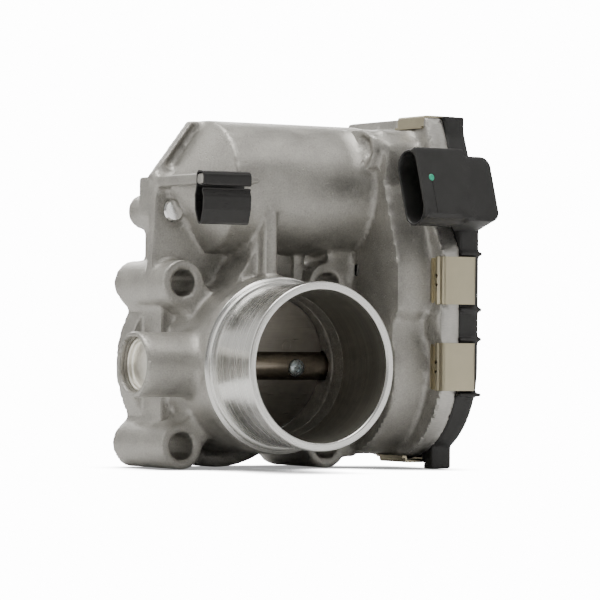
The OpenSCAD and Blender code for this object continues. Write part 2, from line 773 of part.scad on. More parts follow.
// Screws that hold the plate in the shaft's slot
module plate_screws() {
    color([0.3, 0.3, 0.32]) turn_plate() for (x = screw_x)
        difference() {
            union() {
                rod_y(-shaft_r + 0.5, shaft_r + 0.3, x, 0, 1.5);
                rod_y(-shaft_r - 0.9, -shaft_r + 0.5, x, 0, 2.35);
            }
            rod_y(-shaft_r - 1.5, -shaft_r + 0.2, x, 0, 1.2, $fn = 6);
        }
}

// Metal insert moulded into the throttle gear and pressed on the shaft
module gear_insert() {
    color([0.7, 0.7, 0.7]) ring_x(38, throttle_gear_x[1], shaft_yz, shaft_r, 5.6);
}

// Toothed sector on the shaft's end
module throttle_gear() {
    color([0.85, 0.82, 0.72]) difference() {
        union() {
            slab_x(throttle_gear_x[0], throttle_gear_x[1]) translate(shaft_yz) {
                intersection() {
                    gear_2d(slow_module, sector_teeth, slow_angle);
                    pie_2d(slow_angle - 16, slow_angle + 90, 40);
                }
                circle(r = 12);
            }
            rod_x(35.2, throttle_gear_x[1], shaft_yz, 7.4);
        }
        rod_x(35, 48, shaft_yz, 5.6);
    }
}

// Magnet rotor of the position sensor on the shaft's end
module sensor_rotor() {
    color([0.3, 0.3, 0.33]) rod_x(throttle_gear_x[1], cover_ceiling_x - 1.2, shaft_yz, 5.8);
}

// Intermediate gear: a small pinion and a large wheel in one moulding
module idler_gear() {
    color([0.88, 0.86, 0.78]) difference() {
        union() {
            slab_x(idler_pinion_x[0], idler_wheel_x[0] + eps) translate(idler_yz)
                gear_2d(slow_module, idler_pinion_teeth, slow_angle + 180 + 180 / idler_pinion_teeth);
            slab_x(idler_wheel_x[0], idler_wheel_x[1]) translate(idler_yz)
                gear_2d(fast_module, idler_wheel_teeth, fast_angle);
            rod_x(idler_pinion_x[0] - 0.4, idler_wheel_x[1] + 0.3, idler_yz, 4.4);
        }
        rod_x(40, 53, idler_yz, 3 + running_gap);
    }
}

// Shaft of the motor
module motor_shaft() {
    color([0.8, 0.8, 0.8]) rod_x(can_x + 0.4, idler_wheel_x[1], motor_yz, motor_shaft_r);
}

// Laminated core of the armature, with five slots
module armature_stack() {
    color([0.5, 0.5, 0.52]) difference() {
        rod_x(-1, 18, motor_yz, 10.3);
        rod_x(-2, 19, motor_yz, motor_shaft_r);
        armature_slots(-2, 19, 2.5);
        translate([0, motor_yz[0], motor_yz[1]]) for (i = [0 : 4])
            rotate([i * 72, 0, 0]) block([-2, 6.8, -0.8], [19, 12, 0.8]);
    }
}

// Round channels at the armature's five slots
module armature_slots(x0, x1, r) {
    for (i = [0 : 4])
        rod_x(x0, x1, motor_yz + 6.6 * [cos(i * 72), sin(i * 72)], r);
}

// Copper windings in the slots, joined round each end of the core
module armature_windings() {
    color([0.72, 0.4, 0.2]) {
        armature_slots(-3, 20, 2.4);
        for (x = [-5, 18])
            ring_x(x, x + 4, motor_yz, 3.8, 9.4);
    }
}

// Commutator with its segments
module commutator() {
    color([0.75, 0.5, 0.3]) difference() {
        rod_x(23, 29, motor_yz, 4.2);
        rod_x(22, 30, motor_yz, motor_shaft_r);
        translate([0, motor_yz[0], motor_yz[1]]) for (i = [0 : 4])
            rotate([i * 72, 0, 0]) block([22.5, 3.2, -0.25], [28, 5, 0.25]);
    }
}

// Steel pinion on the motor's shaft
module motor_pinion() {
    color([0.75, 0.75, 0.75])
        slab_x(idler_wheel_x[0] - 0.6, idler_wheel_x[1]) translate(motor_yz) difference() {
        gear_2d(fast_module, motor_pinion_teeth, fast_angle + 180 + 180 / motor_pinion_teeth);
        circle(r = motor_shaft_r);
    }
}

housing();
gear_cover();
cover_seal();
cover_clips();
hose_clip();
locating_dowel();
shaft_plug();
bearing_left();
bearing_right();
seal_left();
seal_right();
motor_can();
motor_end_cap();
motor_magnets();
motor_brushes();
motor_bushings();
motor_screws();
motor_washer();
motor_terminals();
idler_pin();
return_spring();
connector_pins();
sensor_board();
throttle_shaft();
throttle_plate();
plate_screws();
gear_insert();
throttle_gear();
sensor_rotor();
idler_gear();
motor_shaft();
armature_stack();
armature_windings();
commutator();
motor_pinion();
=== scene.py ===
import json
import math

import bmesh
import bpy
import numpy as np
import openvdb
from mathutils import Matrix, Vector


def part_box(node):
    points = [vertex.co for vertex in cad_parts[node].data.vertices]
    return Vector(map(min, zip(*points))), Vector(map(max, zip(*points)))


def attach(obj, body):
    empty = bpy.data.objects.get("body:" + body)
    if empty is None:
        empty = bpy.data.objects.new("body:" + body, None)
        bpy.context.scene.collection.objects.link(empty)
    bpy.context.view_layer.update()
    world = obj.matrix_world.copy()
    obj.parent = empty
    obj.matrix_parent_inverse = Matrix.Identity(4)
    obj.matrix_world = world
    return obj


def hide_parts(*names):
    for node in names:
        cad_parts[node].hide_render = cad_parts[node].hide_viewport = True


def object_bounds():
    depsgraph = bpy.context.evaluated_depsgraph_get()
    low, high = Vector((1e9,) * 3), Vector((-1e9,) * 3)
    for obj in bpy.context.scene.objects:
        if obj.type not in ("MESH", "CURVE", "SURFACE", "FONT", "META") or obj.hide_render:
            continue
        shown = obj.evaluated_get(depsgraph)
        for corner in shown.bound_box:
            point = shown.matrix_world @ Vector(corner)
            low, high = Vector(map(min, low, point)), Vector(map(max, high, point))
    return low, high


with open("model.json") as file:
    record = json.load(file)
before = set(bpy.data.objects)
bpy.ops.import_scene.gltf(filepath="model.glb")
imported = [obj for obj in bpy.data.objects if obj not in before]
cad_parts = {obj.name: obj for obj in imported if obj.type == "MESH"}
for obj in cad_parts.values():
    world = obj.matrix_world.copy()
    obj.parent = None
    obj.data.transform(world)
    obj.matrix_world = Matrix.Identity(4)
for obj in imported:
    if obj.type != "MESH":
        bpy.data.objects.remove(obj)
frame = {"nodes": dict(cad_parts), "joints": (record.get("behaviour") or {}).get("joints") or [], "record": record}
cad_low, cad_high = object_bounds()

MM = 0.001
BACKDROP = 14.0
BODY = "body"


# ---------------------------------------------------------------- places taken from the frame

def joint_place(name):
    """The point that a joint turns about, in millimetres."""
    joint = next(j for j in frame["joints"] if j["name"] == name)
    return Vector(joint["pos_m"]) / MM


def mount(name):
    """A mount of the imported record, by name."""
    return next(m for m in frame["record"]["mounts"] if m["name"] == name)


SHAFT = joint_place("throttle_turn")
BOLTS = mount("flange_bolts")["dims"]
SPIGOT = mount("inlet_spigot")["dims"]
HOUSING_LOW, HOUSING_HIGH = (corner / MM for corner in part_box("housing"))
COVER_LOW, COVER_HIGH = (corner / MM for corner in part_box("gear_cover"))
PLATE_LOW, PLATE_HIGH = (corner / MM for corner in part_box("throttle_plate"))
BORE_R = (PLATE_HIGH.x - PLATE_LOW.x) / 2 + 0.05


# ---------------------------------------------------------------- camera, floor and light

def make_camera():
    """Camera at the viewing angle of a product shot from the left and slightly below the bore's axis."""
    azimuth, elevation, roll = (math.radians(a) for a in (-31.78, -0.72, 0.58))
    distance, across, up_shift = 920.0, 6.0, -17.56
    spigot_front = Vector((0, HOUSING_LOW.y, 0))
    back = Vector((
        math.sin(azimuth) * math.cos(elevation),
        -math.cos(azimuth) * math.cos(elevation),
        math.sin(elevation),
    ))
    ahead = -back
    right = ahead.cross(Vector((0, 0, 1))).normalized()
    up = right.cross(ahead)
    right, up = (
        right * math.cos(roll) + up * math.sin(roll),
        up * math.cos(roll) - right * math.sin(roll),
    )
    place = spigot_front - across * right - up_shift * up - distance * ahead
    camera = bpy.data.objects.new("camera", bpy.data.cameras.new("camera"))
    camera.data.sensor_width = 36
    camera.data.lens = 208.8
    camera.data.clip_start, camera.data.clip_end = 0.01, 50
    turn = Matrix((right, up, back)).transposed().to_4x4()
    camera.matrix_world = Matrix.Translation(place * MM) @ turn
    bpy.context.scene.collection.objects.link(camera)
    bpy.context.scene.camera = camera


def soft_light(name, place, target, size, power, colour=(1, 1, 1)):
    """A rectangular softbox, in metres, that faces the target."""
    data = bpy.data.lights.new(name, "AREA")
    data.shape = "RECTANGLE"
    data.size, data.size_y = size
    data.energy = power
    data.color = colour
    light = bpy.data.objects.new(name, data)
    light.location = place
    light.rotation_mode = "QUATERNION"
    light.rotation_quaternion = (Vector(target) - Vector(place)).to_track_quat("-Z", "Y")
    bpy.context.scene.collection.objects.link(light)


def floor_material():
    """White acrylic: full white to the camera, darker only where the object stands close to it: a painted contact
    shadow.
    """
    material = bpy.data.materials.new("floor_white")
    material.use_nodes = True
    tree = material.node_tree
    tree.nodes.clear()
    output = tree.nodes.new("ShaderNodeOutputMaterial")
    rays = tree.nodes.new("ShaderNodeLightPath")
    mix = tree.nodes.new("ShaderNodeMixShader")
    body = tree.nodes.new("ShaderNodeBsdfDiffuse")
    body.inputs["Color"].default_value = (0.75, 0.75, 0.75, 1)
    seen = tree.nodes.new("ShaderNodeEmission")
    # painted contact shadow: ambient occlusion dims the floor's glow near the object
    painted_contact_shadow = tree.nodes.new("ShaderNodeAmbientOcclusion")
    painted_contact_shadow.inputs["Distance"].default_value = 0.012
    painted_contact_shadow.samples = 16
    strength = tree.nodes.new("ShaderNodeMapRange")
    strength.inputs["From Min"].default_value = 0.35
    strength.inputs["From Max"].default_value = 0.97
    strength.inputs["To Min"].default_value = 0.35
    strength.inputs["To Max"].default_value = BACKDROP
    links = tree.links
    links.new(painted_contact_shadow.outputs["AO"], strength.inputs["Value"])
    links.new(strength.outputs["Result"], seen.inputs["Strength"])
    links.new(rays.outputs["Is Camera Ray"], mix.inputs["Fac"])
    links.new(body.outputs[0], mix.inputs[1])
    links.new(seen.outputs[0], mix.inputs[2])
    links.new(mix.outputs[0], output.inputs["Surface"])
    return material


def make_floor():
    bm = bmesh.new()
    bmesh.ops.create_circle(bm, cap_ends=True, segments=96, radius=9)
    mesh = bpy.data.meshes.new("floor")
    bm.to_mesh(mesh)
    bm.free()
    floor = bpy.data.objects.new("floor", mesh)
    floor.location.z = cad_low.z
    bpy.context.scene.collection.objects.link(floor)
    mesh.materials.append(floor_material())


def make_world():
    """White behind the object; as light, a studio that is brighter at the left rear than at the front."""
    world = bpy.context.scene.world or bpy.data.worlds.new("world")
    bpy.context.scene.world = world
    world.use_nodes = True
    tree = world.node_tree
    tree.nodes.clear()
    output = tree.nodes.new("ShaderNodeOutputWorld")
    mix = tree.nodes.new("ShaderNodeMixShader")
    rays = tree.nodes.new("ShaderNodeLightPath")
    seen = tree.nodes.new("ShaderNodeBackground")
    seen.inputs["Color"].default_value = (1, 1, 1, 1)
    seen.inputs["Strength"].default_value = BACKDROP
    lit = tree.nodes.new("ShaderNodeBackground")
    lit.inputs["Strength"].default_value = 1.0
    where = tree.nodes.new("ShaderNodeTexCoord")
    towards = tree.nodes.new("ShaderNodeVectorMath")
    towards.operation = "DOT_PRODUCT"
    towards.inputs[1].default_value = Vector((-0.55, 0.75, 0.35)).normalized()
    ramp = tree.nodes.new("ShaderNodeValToRGB")
    for element, position, value in zip(ramp.color_ramp.elements, (0.0, 1.0), (0.15, 0.74)):
        element.position = position
        element.color = (value, value * 0.985, value * 0.95, 1)
    ramp.color_ramp.elements.new(0.45).color = (0.20, 0.197, 0.19, 1)
    remap = tree.nodes.new("ShaderNodeMapRange")
    remap.inputs["From Min"].default_value = -1
    remap.inputs["From Max"].default_value = 1
    links = tree.links
    links.new(where.outputs["Generated"], towards.inputs[0])
    links.new(towards.outputs["Value"], remap.inputs["Value"])
    links.new(remap.outputs["Result"], ramp.inputs["Fac"])
    links.new(ramp.outputs["Color"], lit.inputs["Color"])
    links.new(rays.outputs["Is Camera Ray"], mix.inputs["Fac"])
    links.new(lit.outputs[0], mix.inputs[1])
    links.new(seen.outputs[0], mix.inputs[2])
    links.new(mix.outputs[0], output.inputs["Surface"])


def make_stage():
    """White floor and surround, and soft studio light."""
    make_floor()
    make_world()
    middle = (0.0, -0.03, 0.02)
    warm = (1.0, 0.985, 0.96)
    soft_light("top_box", (-0.10, -0.02, 0.75), middle, (0.6, 0.5), 6.8, warm)
    soft_light("top_front", (0.10, -0.50, 0.70), middle, (0.4, 0.4), 1.7, warm)
    soft_light("rear_box", (0.30, 0.80, 0.40), middle, (0.6, 0.5), 5.0, warm)
    soft_light("left_high", (-0.45, 0.45, 0.65), middle, (0.4, 0.4), 0.6, warm)
    soft_light("left_box", (-0.70, 0.05, 0.25), middle, (0.45, 0.6), 1.1, warm)
    soft_light("right_high", (0.55, -0.25, 0.60), middle, (0.4, 0.4), 0.8, warm)
    soft_light("right_side", (0.85, -0.10, 0.12), middle, (0.4, 0.4), 0.45, warm)
    soft_light("front_right", (0.55, -0.75, 0.12), middle, (0.45, 0.5), 0.8, warm)
    soft_light("front_fill", (-0.30, -0.95, 0.30), middle, (0.5, 0.5), 0.35)


# ---------------------------------------------------------------- materials

class Shade:
    """A small helper that builds one procedural material."""

    def __init__(self, name, colour, roughness, metallic=0.0):
        self.material = bpy.data.materials.new(name)
        self.material.use_nodes = True
        self.tree = self.material.node_tree
        self.shader = self.tree.nodes["Principled BSDF"]
        self.set("Base Color", (*colour, 1))
        self.set("Roughness", roughness)
        self.set("Metallic", metallic)
        self.colour = colour
        self.roughness = roughness
        self.height = None
        self.where = self.tree.nodes.new("ShaderNodeTexCoord").outputs["Object"]

    def set(self, socket, value):
        self.shader.inputs[socket].default_value = value

    def node(self, kind, **values):
        made = self.tree.nodes.new(kind)
        for key, value in values.items():
            setattr(made, key, value)
        return made

    def link(self, source, target):
        self.tree.links.new(source, target)

    def math(self, operation, a, b=None):
        made = self.node("ShaderNodeMath", operation=operation)
        for socket, value in zip(made.inputs, (a, b)):
            if value is None:
                continue
            if isinstance(value, (int, float)):
                socket.default_value = value
            else:
                self.link(value, socket)
        return made.outputs[0]

    def noise(self, size_mm, detail=3.0, rough=0.5, where=None, stretch=None):
        """Noise with features of about this size, in millimetres, from 0 to 1."""
        made = self.node("ShaderNodeTexNoise")
        made.inputs["Scale"].default_value = 1000.0 / size_mm
        made.inputs["Detail"].default_value = detail
        made.inputs["Roughness"].default_value = rough
        source = where or self.where
        if stretch:
            mapping = self.node("ShaderNodeMapping")
            mapping.inputs["Scale"].default_value = stretch
            self.link(source, mapping.inputs["Vector"])
            source = mapping.outputs["Vector"]
        self.link(source, made.inputs["Vector"])
        return made.outputs["Fac"]

    def remap(self, value, low, high, to_low, to_high):
        made = self.node("ShaderNodeMapRange")
        for key, number in zip(
            ("From Min", "From Max", "To Min", "To Max"), (low, high, to_low, to_high)
        ):
            made.inputs[key].default_value = number
        self.link(value, made.inputs["Value"])
        return made.outputs["Result"]

    def tint(self, value, dark, light, low=0.3, high=0.7):
        """Colour between dark and light times the base colour, by a value."""
        ramp = self.node("ShaderNodeValToRGB")
        for element, position, gain in zip(ramp.color_ramp.elements, (low, high), (dark, light)):
            element.position = position
            element.color = (*(min(1.0, c * gain) for c in self.colour), 1)
        self.link(value, ramp.inputs["Fac"])
        self.link(ramp.outputs["Color"], self.shader.inputs["Base Color"])
        return ramp

    def mix_colour(self, value, first, second):
        """The colour output that goes from first to second by a value; each is a colour or an output."""
        made = self.node("ShaderNodeMix", data_type="RGBA")
        self.link(value, made.inputs["Factor"])
        for socket, colour in zip((made.inputs["A"], made.inputs["B"]), (first, second)):
            if isinstance(colour, tuple):
                socket.default_value = (*colour, 1)
            else:
                self.link(colour, socket)
        return made.outputs["Result"]

    def vary_roughness(self, value, spread):
        low, high = self.roughness - spread, self.roughness + spread
        self.link(self.remap(value, 0.3, 0.7, low, high), self.shader.inputs["Roughness"])

    def bump(self, value, depth_mm, strength=1.0):
        made = self.node("ShaderNodeBump")
        made.inputs["Distance"].default_value = depth_mm * MM
        made.inputs["Strength"].default_value = strength
        self.link(value, made.inputs["Height"])
        if self.height is not None:
            self.link(self.height, made.inputs["Normal"])
        self.height = made.outputs["Normal"]
        self.link(self.height, self.shader.inputs["Normal"])


def cast_aluminium():
    """Die-cast skin: warm grey, finely speckled, with soft clouds and tiny pits."""
    s = Shade("cast_aluminium", (0.37, 0.36, 0.335), 0.46, 0.82)
    grain = s.noise(0.45, 2, 0.65)
    clouds = s.noise(7, 4, 0.6)
    both = s.math("ADD", s.math("MULTIPLY", grain, 0.55), s.math("MULTIPLY", clouds, 0.45))
    s.tint(both, 0.8, 1.2, 0.34, 0.66)
    s.vary_roughness(clouds, 0.07)
    s.bump(s.noise(2.2, 3), 0.05, 0.6)
    s.bump(grain, 0.06)
    pits = s.remap(s.noise(0.9, 1, 0.4), 0.24, 0.3, 0, 1)
    s.bump(pits, 0.08, 0.8)
    return s.material


def milled_aluminium():
    """Cast metal faced with a cutter: lighter, with faint slanting tool marks."""
    s = Shade("milled_aluminium", (0.47, 0.46, 0.435), 0.38, 0.9)
    marks = s.noise(0.5, 2, 0.6, stretch=(0.3, 1, 1.6))
    clouds = s.noise(4, 3, 0.6)
    s.tint(s.math("ADD", s.math("MULTIPLY", marks, 0.6), s.math("MULTIPLY", clouds, 0.4)), 0.82, 1.15)
    s.vary_roughness(marks, 0.08)
    s.bump(marks, 0.03)
    return s.material


def turned(name, colour, roughness, depth, centre=(0, 0, 0), axis="Y", line=0.16, spread=0.06):
    """Metal with fine turning lines round an axis through the centre, in millimetres."""
    s = Shade(name, colour, roughness, 1.0)
    place = s.node("ShaderNodeVectorMath", operation="SUBTRACT")
    place.inputs[1].default_value = Vector(centre) * MM
    s.link(s.where, place.inputs[0])
    split = s.node("ShaderNodeSeparateXYZ")
    s.link(place.outputs["Vector"], split.inputs[0])
    x, y, z = split.outputs
    along, across = (y, x) if axis == "Y" else (x, y)
    radius = s.math("SQRT", s.math("ADD", s.math("MULTIPLY", across, across), s.math("MULTIPLY", z, z)))
    spiral = s.node("ShaderNodeCombineXYZ")
    s.link(s.math("ADD", along, s.math("MULTIPLY", radius, 1.3)), spiral.inputs[0])
    s.link(s.math("MULTIPLY", across, 0.01), spiral.inputs[1])
    s.link(s.math("MULTIPLY", z, 0.01), spiral.inputs[2])
    fine = s.noise(line, 2, 0.6, where=spiral.outputs[0])
    broad = s.noise(line * 8, 3, 0.6, where=spiral.outputs[0])
    s.tint(s.math("ADD", s.math("MULTIPLY", fine, 0.5), s.math("MULTIPLY", broad, 0.5)), 0.84, 1.1)
    s.vary_roughness(broad, spread)
    s.bump(fine, depth)
    return s.material


def brushed(name, colour, roughness, stretch, grain=0.2, depth=0.01, metallic=1.0):
    """Metal with fine scratches in one direction."""
    s = Shade(name, colour, roughness, metallic)
    lines = s.noise(grain, 3, 0.6, stretch=stretch)
    broad = s.noise(3, 3, 0.6)
    s.tint(s.math("ADD", s.math("MULTIPLY", lines, 0.6), s.math("MULTIPLY", broad, 0.4)), 0.85, 1.1)
    s.vary_roughness(lines, 0.07)
    s.bump(lines, depth)
    return s.material


def moulded(name, colour, roughness, grain=0.3, depth=0.02, spread=0.06):
    """Moulded plastic or rubber with a fine grain."""
    s = Shade(name, colour, roughness)
    fine = s.noise(grain, 2, 0.5)
    broad = s.noise(6, 3, 0.6)
    s.tint(s.math("ADD", s.math("MULTIPLY", fine, 0.4), s.math("MULTIPLY", broad, 0.6)), 0.75, 1.3)
    s.vary_roughness(broad, spread)
    s.bump(fine, depth)
    s.set("Specular IOR Level", 0.45)
    return s.material


def rolled_steel():
    """Bright spring strip with a warm tint, a very fine grain and soft clouds."""
    s = Shade("clip_steel", (0.45, 0.41, 0.30), 0.36, 1.0)
    grain = s.noise(0.12, 1, 0.5, stretch=(1, 1, 0.4))
    clouds = s.noise(5, 2, 0.5)
    s.tint(s.math("ADD", s.math("MULTIPLY", grain, 0.3), s.math("MULTIPLY", clouds, 0.7)), 0.93, 1.05)
    s.vary_roughness(clouds, 0.03)
    s.bump(grain, 0.0008)
    return s.material


def enamelled_copper():
    s = Shade("copper", (0.62, 0.27, 0.12), 0.3, 1.0)
    wire = s.noise(0.5, 2, 0.5, stretch=(0.05, 1, 1))
    s.tint(wire, 0.6, 1.2)
    s.bump(wire, 0.1)
    return s.material


def solder_mask():
    s = Shade("board_green", (0.03, 0.16, 0.08), 0.35)
    tracks = s.node("ShaderNodeTexBrick")
    tracks.inputs["Scale"].default_value = 300
    s.link(s.where, tracks.inputs["Vector"])
    s.tint(tracks.outputs["Fac"], 1.0, 1.8)
    s.bump(tracks.outputs["Fac"], 0.02)
    return s.material


def make_materials():
    """Each of the record's material slots, by name, and the finishes that only pieces made here use."""
    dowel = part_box("locating_dowel")
    dowel_axis = (dowel[0] + dowel[1]) / 2 / MM
    return {
        "cast_aluminium": cast_aluminium(),
        "cover_plastic": moulded("cover_plastic", (0.016, 0.016, 0.0155), 0.48),
        "seal_rubber": moulded("seal_rubber", (0.014, 0.014, 0.014), 0.6),
        "clip_steel": rolled_steel(),
        "black_spring_steel": brushed(
            "black_spring_steel", (0.014, 0.0135, 0.013), 0.34, (0.05, 1, 1), depth=0.004, metallic=0.2
        ),
        "turned_steel": turned("turned_steel", (0.97, 0.965, 0.94), 0.12, 0.003, dowel_axis, line=0.2),
        "bearing_steel": turned("bearing_steel", (0.55, 0.55, 0.56), 0.22, 0.004, SHAFT, "X"),
        "shaft_steel": turned("shaft_steel", (0.23, 0.20, 0.16), 0.24, 0.0002, SHAFT, "X", 0.6, 0.02),
        "plate_metal": brushed("plate_metal", (0.17, 0.158, 0.14), 0.34, (0.05, 1, 1), 0.3, 0.006),
        "dark_screw": brushed("dark_screw", (0.36, 0.40, 0.41), 0.28, (1, 1, 1), 1.2, 0.002),
        "zinc_steel": turned("zinc_steel", (0.92, 0.89, 0.81), 0.34, 0.004, SHAFT, "X", 0.3),
        "ferrite": moulded("ferrite", (0.07, 0.07, 0.075), 0.6),
        "carbon": moulded("carbon", (0.03, 0.03, 0.03), 0.5),
        "sintered_bronze": brushed("sintered_bronze", (0.55, 0.40, 0.20), 0.45, (1, 1, 1)),
        "contact_metal": brushed("contact_metal", (0.78, 0.66, 0.38), 0.25, (0.05, 1, 1)),
        "board_green": solder_mask(),
        "gear_plastic": moulded("gear_plastic", (0.66, 0.62, 0.50), 0.42),
        "end_cap_plastic": moulded("end_cap_plastic", (0.04, 0.04, 0.045), 0.45),
        "lamination": brushed("lamination", (0.32, 0.32, 0.34), 0.4, (1, 0.02, 0.02)),
        "copper": enamelled_copper(),
        "milled_aluminium": milled_aluminium(),
        "machined_aluminium": turned("machined_aluminium", (0.77, 0.765, 0.745), 0.26, 0.004),
        "bore_aluminium": turned("bore_aluminium", (0.40, 0.38, 0.345), 0.13, 0.001, spread=0.03),
        # darker than the outer turned finish: painted shade inside the mouth
        "shaded_mouth_aluminium": turned("shaded_mouth_aluminium", (0.36, 0.35, 0.315), 0.5, 0.008, line=0.3),
        "plug_bore": turned("plug_bore", (0.33, 0.29, 0.24), 0.22, 0.02, SHAFT, "X", 0.5),
        "paint_dot": moulded("paint_dot", (0.02, 0.36, 0.22), 0.35),
    }


# ---------------------------------------------------------------- mesh tools

def add_piece(name, mesh, slot, materials, smooth_angle=35, body=BODY, replaced=()):
    """Puts a mesh, in millimetres, in the scene as a piece of that slot on that body."""
    mesh.transform(Matrix.Scale(MM, 4))
    piece = bpy.data.objects.new(name, mesh)
    bpy.context.scene.collection.objects.link(piece)
    if not mesh.materials:
        mesh.materials.append(materials[slot])
    shade_by_angle(mesh, smooth_angle)
    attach(piece, body)
    if replaced:
        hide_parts(*replaced)
    return piece


def shade_by_angle(mesh, degrees):
    """Smooth shading, with edges sharper than the angle left crisp."""
    mesh.polygons.foreach_set("use_smooth", [True] * len(mesh.polygons))
    mesh.set_sharp_from_angle(angle=math.radians(degrees))


def mesh_from(points, faces, name="made"):
    mesh = bpy.data.meshes.new(name)
    mesh.from_pydata([tuple(p) for p in points], [], [tuple(f) for f in faces])
    mesh.update()
    return mesh


def lathe(profile, centre, axis="Y", steps=160, closed=True):
    """Closed solid of revolution. profile is a loop of (distance along the axis, radius)."""
    angles = [i * 2 * math.pi / steps for i in range(steps)]
    points = []
    for along, radius in profile:
        for a in angles:
            c, s = radius * math.cos(a), radius * math.sin(a)
            if axis == "Y":
                points.append((centre[0] + c, along, centre[2] + s))
            else:
                points.append((along, centre[1] + c, centre[2] + s))
    rows = len(profile)
    faces = []
    for j in range(rows if closed else rows - 1):
        for i in range(steps):
            k, n = (j + 1) % rows, (i + 1) % steps
            faces.append((j * steps + i, j * steps + n, k * steps + n, k * steps + i))
    mesh = mesh_from(points, faces, "lathe")
    bm = bmesh.new()
    bm.from_mesh(mesh)
    bmesh.ops.remove_doubles(bm, verts=bm.verts, dist=1e-5)
    bmesh.ops.recalc_face_normals(bm, faces=bm.faces)
    bm.to_mesh(mesh)
    bm.free()
    return mesh


def arc(centre, radius, start, end, steps=6):
    """Points on an arc in a profile plane, angles in degrees."""
    return [
        (
            centre[0] + radius * math.cos(math.radians(start + (end - start) * i / steps)),
            centre[1] + radius * math.sin(math.radians(start + (end - start) * i / steps)),
        )
        for i in range(steps + 1)
    ]


def triangles_of(mesh):
    """The points of a mesh, in millimetres, and its triangles, with doubled points merged."""
    bm = bmesh.new()
    bm.from_mesh(mesh)
    bmesh.ops.remove_doubles(bm, verts=bm.verts, dist=2e-6)
    bmesh.ops.triangulate(bm, faces=bm.faces)
    points = np.array([v.co for v in bm.verts], np.float32) / MM
    faces = np.array([[v.index for v in f.verts] for f in bm.faces], np.uint32)
    bm.free()
    return points, faces


def level_set(points, faces, voxel, reach):
    """Signed distance grid of a closed surface, good to reach millimetres either side."""
    return openvdb.FloatGrid.createLevelSetFromPolygons(
        points=points,
        **{"triangles" if faces.shape[1] == 3 else "quads": faces},
        transform=openvdb.createLinearTransform(voxelSize=voxel),
        halfWidth=reach / voxel + 3,
    )


def cast_surface(node, voxel, fillet, rounding, adaptivity=0.35):
    """A CAD node's surface with inner corners filled to one radius and outer edges rounded to another."""
    points, faces = triangles_of(frame["nodes"][node].data)
    for distance in (fillet, -fillet - rounding):
        grid = level_set(points, faces, voxel, abs(distance))
        points, faces = grid.convertToQuads(isovalue=distance)
    grid = level_set(points, faces, voxel, rounding)
    points, triangles, quads = grid.convertToPolygons(isovalue=rounding, adaptivity=adaptivity)
    every_face = [tuple(f[::-1]) for f in triangles.tolist()] + [tuple(f[::-1]) for f in quads.tolist()]
    return mesh_from(points.tolist(), every_face, node + "_cast")


def boolean(mesh, cutter, operation="DIFFERENCE", solver="FAST"):
    """The mesh after one boolean with the cutter. Both are in the same units."""
    holder = bpy.data.objects.new("boolean_base", mesh)
    tool = bpy.data.objects.new("boolean_tool", cutter)
    for o in (holder, tool):
        bpy.context.scene.collection.objects.link(o)
    modifier = holder.modifiers.new("cut", "BOOLEAN")
    modifier.object = tool
    modifier.operation = operation
    modifier.solver = solver
    graph = bpy.context.evaluated_depsgraph_get()
    made = bpy.data.meshes.new_from_object(holder.evaluated_get(graph))
    for o in (holder, tool):
        bpy.data.objects.remove(o)
    return made


# ---------------------------------------------------------------- housing

BORE_DEPTH = -36.0
CHAMFER_Y, CHAMFER_R = -36.6, BORE_R + 0.6
CONE_Y, CONE_R = -46.0, 19.9
MOUTH_R = 20.3
SHOULDER_Y = -41.0
FRONT_Y = HOUSING_LOW.y
RIM_DEPTH = 5.8
BOLT_COLUMN_LENGTH = 28.0
PLUG_BORE_R = 7.45


def cone_radius(y):
    """Radius of the inlet's cone at a place between its two ends."""
    return CHAMFER_R + (CONE_R - CHAMFER_R) * (y - CHAMFER_Y) / (CONE_Y - CHAMFER_Y)


def build_housing(materials):
    """The casting with its fillets, then the machined holes cut sharp, then the turned spigot."""
    cast = cast_surface("housing", 0.34, 0.9, 0.3)
    cast.materials.append(materials["cast_aluminium"])
    for cutter, slot in housing_cutters():
        cutter.materials.append(materials[slot])
        cast = boolean(cast, cutter)
    casting = add_piece("housing_casting", cast, "cast_aluminium", materials, 38, replaced=("housing",))
    finish_machined_faces(casting.data, materials)
    add_piece("inlet_spigot", spigot_mesh(materials), "cast_aluminium", materials, 30)


def finish_machined_faces(mesh, materials):
    """Gives the milled finish to the flange face and to the rim's front and top."""
    slots = [m.name for m in mesh.materials]
    mesh.materials.append(materials["milled_aluminium"])
    milled = len(slots)
    rim_start = (HOUSING_HIGH.x - RIM_DEPTH) * MM
    for face in mesh.polygons:
        centre, normal = face.center, face.normal
        if face.material_index:
            continue
        on_flange = normal.y > 0.95 and centre.y > -0.6 * MM
        on_rim = centre.x > rim_start and abs(normal.x) < 0.3 and normal.y < 0.35
        if on_flange or on_rim:
            face.material_index = milled


